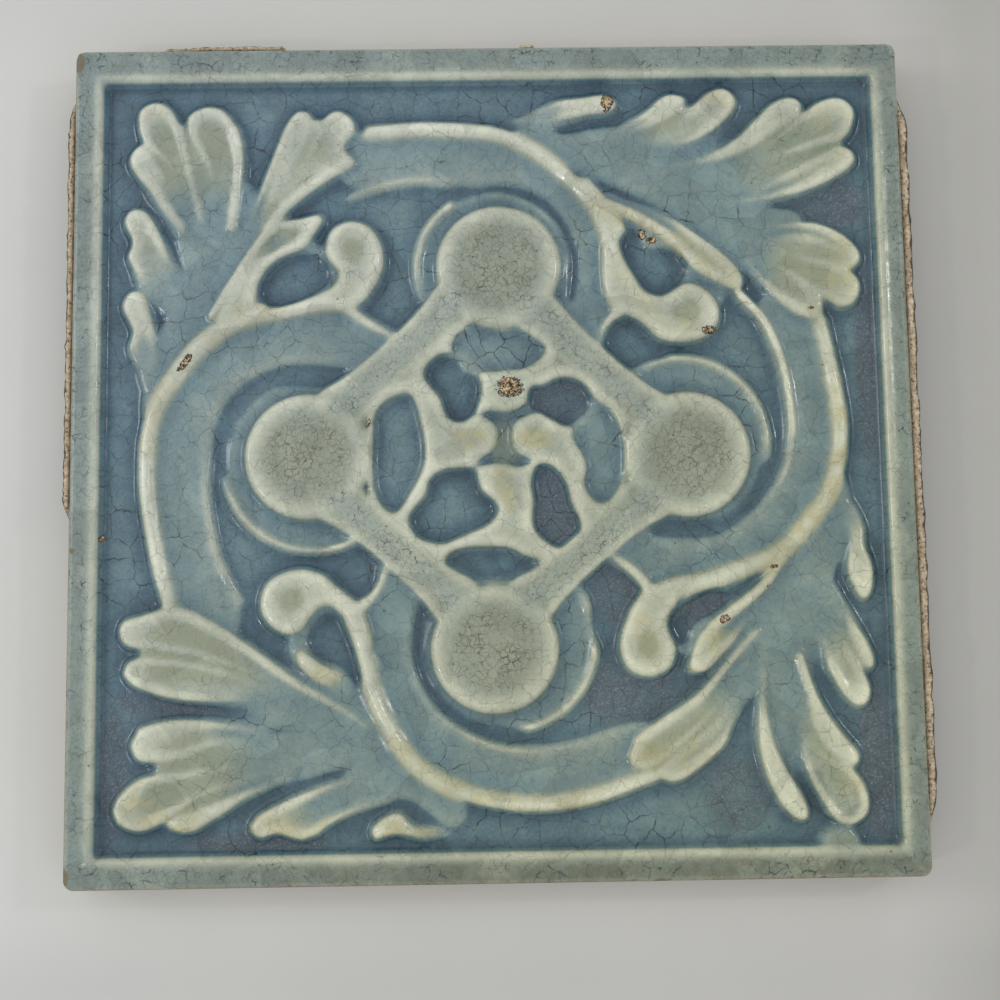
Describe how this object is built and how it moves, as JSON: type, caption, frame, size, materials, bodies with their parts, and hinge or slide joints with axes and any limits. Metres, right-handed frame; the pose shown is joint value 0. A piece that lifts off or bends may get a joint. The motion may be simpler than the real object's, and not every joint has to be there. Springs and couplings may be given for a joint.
{
  "type": "moulded relief wall tile",
  "caption": "Square glazed tile with a moulded relief of leafy scrolls round linked discs in a plain raised border, keyed at the back.",
  "frame": {"origin": "the middle of the flat back", "axes": "+Z out of the relief face, +Y towards the top edge of the design, +X to its right"},
  "size_m": [0.1559, 0.1532, 0.0111],
  "materials": {
    "glaze": "glossy translucent celadon to slate blue glaze, crazed all over, thin and cream on the crests, over buff clay",
    "mortar": "crumbly sandy lime mortar"
  },
  "bodies": {
    "root": {"tile": "glaze", "mortar_right": "mortar", "mortar_left": "mortar", "mortar_top": "mortar", "mortar_crumb": "mortar"}
  },
  "joints": []
}
